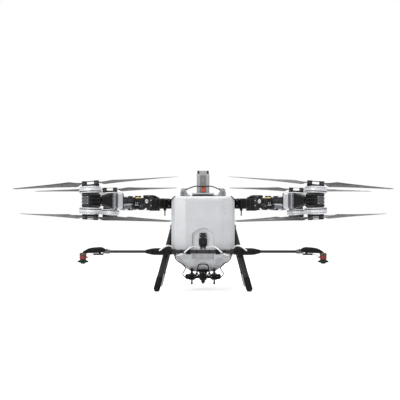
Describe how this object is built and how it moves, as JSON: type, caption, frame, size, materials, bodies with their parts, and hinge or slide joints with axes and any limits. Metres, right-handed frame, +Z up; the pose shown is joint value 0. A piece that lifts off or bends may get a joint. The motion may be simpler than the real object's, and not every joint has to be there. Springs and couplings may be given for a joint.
{
  "type": "agricultural spray drone",
  "caption": "Coaxial multirotor spray drone with fold-down arms, folding blades, a front liquid tank, a spray boom with spinning-disc atomisers and a lift-out battery.",
  "frame": {"origin": "centre of the bounding box in X and Y, on the ground plane under the feet", "axes": "+Z up, the machine faces -Y, its own left side is +X"},
  "size_m": [3.0684, 2.6952, 0.998],
  "materials": {
    "carbon_tube": "satin woven carbon",
    "black_alloy": "matte black coat",
    "black_plastic": "fine moulded grain",
    "blade_composite": "satin",
    "bell_alloy": "satin turned",
    "heat_sink": "bead blasted",
    "grey_plastic": "fine moulded grain",
    "tank_plastic": "milky translucent",
    "hose_plastic": "milky hose",
    "wire_rubber": "matte",
    "atomizer_plastic": "semi gloss"
  },
  "bodies": {
    "airframe": {"left_frame_side": "black_alloy", "right_frame_side": "black_alloy", "battery_bay": "grey_plastic", "liquid_tank": "tank_plastic", "boom_centre": "carbon_tube", "left_boom_tube": "carbon_tube", "right_boom_tube": "carbon_tube", "left_nozzle_head": "black_plastic", "right_nozzle_head": "black_plastic", "pump_unit": "black_plastic", "pump_wiring": "wire_rubber", "spray_hoses": "hose_plastic", "front_left_leg": "carbon_tube", "front_right_leg": "carbon_tube", "rear_left_leg": "carbon_tube", "rear_right_leg": "carbon_tube"},
    "front_left_arm": {"front_left_arm": "carbon_tube", "front_left_speed_controller": "heat_sink", "front_left_motor_mount": "black_alloy"},
    "front_left_arm_latch": {"front_left_arm_latch": "black_plastic"},
    "front_left_upper_rotor": {"front_left_upper_motor_bell": "bell_alloy"},
    "front_left_upper_blade_a": {"front_left_upper_blade_a": "blade_composite"},
    "front_left_upper_blade_b": {"front_left_upper_blade_b": "blade_composite"},
    "front_left_lower_rotor": {"front_left_lower_motor_bell": "bell_alloy"},
    "front_left_lower_blade_a": {"front_left_lower_blade_a": "blade_composite"},
    "front_left_lower_blade_b": {"front_left_lower_blade_b": "blade_composite"},
    "front_right_arm": {"front_right_arm": "carbon_tube", "front_right_speed_controller": "heat_sink", "front_right_motor_mount": "black_alloy"},
    "front_right_arm_latch": {"front_right_arm_latch": "black_plastic"},
    "front_right_upper_rotor": {"front_right_upper_motor_bell": "bell_alloy"},
    "front_right_upper_blade_a": {"front_right_upper_blade_a": "blade_composite"},
    "front_right_upper_blade_b": {"front_right_upper_blade_b": "blade_composite"},
    "front_right_lower_rotor": {"front_right_lower_motor_bell": "bell_alloy"},
    "front_right_lower_blade_a": {"front_right_lower_blade_a": "blade_composite"},
    "front_right_lower_blade_b": {"front_right_lower_blade_b": "blade_composite"},
    "rear_left_arm": {"rear_left_arm": "carbon_tube", "rear_left_speed_controller": "heat_sink", "rear_left_motor_mount": "black_alloy"},
    "rear_left_arm_latch": {"rear_left_arm_latch": "black_plastic"},
    "rear_left_upper_rotor": {"rear_left_upper_motor_bell": "bell_alloy"},
    "rear_left_upper_blade_a": {"rear_left_upper_blade_a": "blade_composite"},
    "rear_left_upper_blade_b": {"rear_left_upper_blade_b": "blade_composite"},
    "rear_left_lower_rotor": {"rear_left_lower_motor_bell": "bell_alloy"},
    "rear_left_lower_blade_a": {"rear_left_lower_blade_a": "blade_composite"},
    "rear_left_lower_blade_b": {"rear_left_lower_blade_b": "blade_composite"},
    "rear_right_arm": {"rear_right_arm": "carbon_tube", "rear_right_speed_controller": "heat_sink", "rear_right_motor_mount": "black_alloy"},
    "rear_right_arm_latch": {"rear_right_arm_latch": "black_plastic"},
    "rear_right_upper_rotor": {"rear_right_upper_motor_bell": "bell_alloy"},
    "rear_right_upper_blade_a": {"rear_right_upper_blade_a": "blade_composite"},
    "rear_right_upper_blade_b": {"rear_right_upper_blade_b": "blade_composite"},
    "rear_right_lower_rotor": {"rear_right_lower_motor_bell": "bell_alloy"},
    "rear_right_lower_blade_a": {"rear_right_lower_blade_a": "blade_composite"},
    "rear_right_lower_blade_b": {"rear_right_lower_blade_b": "blade_composite"},
    "battery": {"battery": "grey_plastic"},
    "tank_lid": {"tank_lid": "black_plastic"},
    "left_atomizer_disc": {"left_atomizer_disc": "atomizer_plastic"},
    "right_atomizer_disc": {"right_atomizer_disc": "atomizer_plastic"}
  },
  "joints": [
    {"name": "front_left_arm_fold", "type": "hinge", "parent": "airframe", "child": "front_left_arm", "pos_m": [0.482, -0.35, 0.725], "axis": [0.7874, 0.6165, 0], "range_deg": [0, 40]},
    {"name": "front_right_arm_fold", "type": "hinge", "parent": "airframe", "child": "front_right_arm", "pos_m": [-0.482, -0.35, 0.725], "axis": [0.7874, -0.6165, 0], "range_deg": [0, 40]},
    {"name": "rear_left_arm_fold", "type": "hinge", "parent": "airframe", "child": "rear_left_arm", "pos_m": [0.482, 0.35, 0.725], "axis": [-0.7874, 0.6165, 0], "range_deg": [0, 40]},
    {"name": "rear_right_arm_fold", "type": "hinge", "parent": "airframe", "child": "rear_right_arm", "pos_m": [-0.482, 0.35, 0.725], "axis": [-0.7874, -0.6165, 0], "range_deg": [0, 40]},
    {"name": "battery_slide", "type": "slide", "parent": "airframe", "child": "battery", "axis": [0, 0, 1], "range_m": [0, 0.24]},
    {"name": "tank_lid_hinge", "type": "hinge", "parent": "airframe", "child": "tank_lid", "pos_m": [0, -0.008, 0.783], "axis": [-1, 0, 0], "range_deg": [0, 100]},
    {"name": "front_left_upper_rotor_spin", "type": "hinge", "parent": "front_left_arm", "child": "front_left_upper_rotor", "pos_m": [0.85302, -0.81763, 0.82493], "axis": [0.0302, 0.0237, 0.9993], "continuous": true},
    {"name": "front_left_lower_rotor_spin", "type": "hinge", "parent": "front_left_arm", "child": "front_left_lower_rotor", "pos_m": [0.85302, -0.81763, 0.62507], "axis": [0.0302, 0.0237, -0.9993], "continuous": true},
    {"name": "front_left_upper_blade_a_fold", "type": "hinge", "parent": "front_left_upper_rotor", "child": "front_left_upper_blade_a", "pos_m": [0.90251, -0.78531, 0.85269], "axis": [0.0302, 0.0237, 0.9993], "range_deg": [-80, 0]},
    {"name": "front_left_upper_blade_b_fold", "type": "hinge", "parent": "front_left_upper_rotor", "child": "front_left_upper_blade_b", "pos_m": [0.80535, -0.84854, 0.85712], "axis": [-0.0302, -0.0237, -0.9993], "range_deg": [-80, 0]},
    {"name": "front_left_lower_blade_a_fold", "type": "hinge", "parent": "front_left_lower_rotor", "child": "front_left_lower_blade_a", "pos_m": [0.80893, -0.85345, 0.59287], "axis": [0.0302, 0.0237, -0.9993], "range_deg": [-80, 0]},
    {"name": "front_left_lower_blade_b_fold", "type": "hinge", "parent": "front_left_lower_rotor", "child": "front_left_lower_blade_b", "pos_m": [0.89893, -0.7804, 0.59732], "axis": [-0.0302, -0.0237, 0.9993], "range_deg": [-80, 0]},
    {"name": "left_atomizer_spin", "type": "hinge", "parent": "airframe", "child": "left_atomizer_disc", "pos_m": [0.965, -0.338, 0.242], "axis": [0, 0, 1], "continuous": true},
    {"name": "front_left_latch_flip", "type": "hinge", "parent": "airframe", "child": "front_left_arm_latch", "pos_m": [0.45734, -0.3185, 0.767], "axis": [0.7874, 0.6165, 0], "range_deg": [0, 75]},
    {"name": "front_right_latch_flip", "type": "hinge", "parent": "airframe", "child": "front_right_arm_latch", "pos_m": [-0.45734, -0.3185, 0.767], "axis": [0.7874, -0.6165, 0], "range_deg": [0, 75]},
    {"name": "rear_left_latch_flip", "type": "hinge", "parent": "airframe", "child": "rear_left_arm_latch", "pos_m": [0.45734, 0.3185, 0.767], "axis": [-0.7874, 0.6165, 0], "range_deg": [0, 75]},
    {"name": "rear_right_latch_flip", "type": "hinge", "parent": "airframe", "child": "rear_right_arm_latch", "pos_m": [-0.45734, 0.3185, 0.767], "axis": [-0.7874, -0.6165, 0], "range_deg": [0, 75]},
    {"name": "front_right_upper_rotor_spin", "type": "hinge", "parent": "front_right_arm", "child": "front_right_upper_rotor", "pos_m": [-0.85302, -0.81763, 0.82493], "axis": [-0.0302, 0.0237, 0.9993], "continuous": true},
    {"name": "front_right_lower_rotor_spin", "type": "hinge", "parent": "front_right_arm", "child": "front_right_lower_rotor", "pos_m": [-0.85302, -0.81763, 0.62507], "axis": [-0.0302, 0.0237, -0.9993], "continuous": true},
    {"name": "rear_left_upper_rotor_spin", "type": "hinge", "parent": "rear_left_arm", "child": "rear_left_upper_rotor", "pos_m": [0.85302, 0.81763, 0.82493], "axis": [0.0302, -0.0237, 0.9993], "continuous": true},
    {"name": "rear_left_lower_rotor_spin", "type": "hinge", "parent": "rear_left_arm", "child": "rear_left_lower_rotor", "pos_m": [0.85302, 0.81763, 0.62507], "axis": [0.0302, -0.0237, -0.9993], "continuous": true},
    {"name": "rear_right_upper_rotor_spin", "type": "hinge", "parent": "rear_right_arm", "child": "rear_right_upper_rotor", "pos_m": [-0.85302, 0.81763, 0.82493], "axis": [-0.0302, -0.0237, 0.9993], "continuous": true},
    {"name": "rear_right_lower_rotor_spin", "type": "hinge", "parent": "rear_right_arm", "child": "rear_right_lower_rotor", "pos_m": [-0.85302, 0.81763, 0.62507], "axis": [-0.0302, -0.0237, -0.9993], "continuous": true},
    {"name": "right_atomizer_spin", "type": "hinge", "parent": "airframe", "child": "right_atomizer_disc", "pos_m": [-0.965, -0.338, 0.242], "axis": [0, 0, 1], "continuous": true},
    {"name": "front_right_upper_blade_a_fold", "type": "hinge", "parent": "front_right_upper_rotor", "child": "front_right_upper_blade_a", "pos_m": [-0.80535, -0.84854, 0.85712], "axis": [-0.0302, 0.0237, 0.9993], "range_deg": [-80, 0]},
    {"name": "front_right_upper_blade_b_fold", "type": "hinge", "parent": "front_right_upper_rotor", "child": "front_right_upper_blade_b", "pos_m": [-0.90251, -0.78531, 0.85269], "axis": [0.0302, -0.0237, -0.9993], "range_deg": [-80, 0]},
    {"name": "front_right_lower_blade_a_fold", "type": "hinge", "parent": "front_right_lower_rotor", "child": "front_right_lower_blade_a", "pos_m": [-0.89893, -0.7804, 0.59732], "axis": [-0.0302, 0.0237, -0.9993], "range_deg": [-80, 0]},
    {"name": "front_right_lower_blade_b_fold", "type": "hinge", "parent": "front_right_lower_rotor", "child": "front_right_lower_blade_b", "pos_m": [-0.80893, -0.85345, 0.59287], "axis": [0.0302, -0.0237, 0.9993], "range_deg": [-80, 0]},
    {"name": "rear_left_upper_blade_a_fold", "type": "hinge", "parent": "rear_left_upper_rotor", "child": "rear_left_upper_blade_a", "pos_m": [0.81023, 0.85499, 0.85713], "axis": [0.0302, -0.0237, 0.9993], "range_deg": [-80, 0]},
    {"name": "rear_left_upper_blade_b_fold", "type": "hinge", "parent": "rear_left_upper_rotor", "child": "rear_left_upper_blade_b", "pos_m": [0.89763, 0.77885, 0.85268], "axis": [-0.0302, 0.0237, -0.9993], "range_deg": [-80, 0]},
    {"name": "rear_left_lower_blade_a_fold", "type": "hinge", "parent": "rear_left_lower_rotor", "child": "rear_left_lower_blade_a", "pos_m": [0.89763, 0.77885, 0.59732], "axis": [0.0302, -0.0237, -0.9993], "range_deg": [-80, 0]},
    {"name": "rear_left_lower_blade_b_fold", "type": "hinge", "parent": "rear_left_lower_rotor", "child": "rear_left_lower_blade_b", "pos_m": [0.81023, 0.85499, 0.59287], "axis": [-0.0302, 0.0237, 0.9993], "range_deg": [-80, 0]},
    {"name": "rear_right_upper_blade_a_fold", "type": "hinge", "parent": "rear_right_upper_rotor", "child": "rear_right_upper_blade_a", "pos_m": [-0.89763, 0.77885, 0.85268], "axis": [-0.0302, -0.0237, 0.9993], "range_deg": [-80, 0]},
    {"name": "rear_right_upper_blade_b_fold", "type": "hinge", "parent": "rear_right_upper_rotor", "child": "rear_right_upper_blade_b", "pos_m": [-0.81023, 0.85499, 0.85713], "axis": [0.0302, 0.0237, -0.9993], "range_deg": [-80, 0]},
    {"name": "rear_right_lower_blade_a_fold", "type": "hinge", "parent": "rear_right_lower_rotor", "child": "rear_right_lower_blade_a", "pos_m": [-0.81023, 0.85499, 0.59287], "axis": [-0.0302, -0.0237, -0.9993], "range_deg": [-80, 0]},
    {"name": "rear_right_lower_blade_b_fold", "type": "hinge", "parent": "rear_right_lower_rotor", "child": "rear_right_lower_blade_b", "pos_m": [-0.89763, 0.77885, 0.59732], "axis": [0.0302, 0.0237, 0.9993], "range_deg": [-80, 0]}
  ]
}
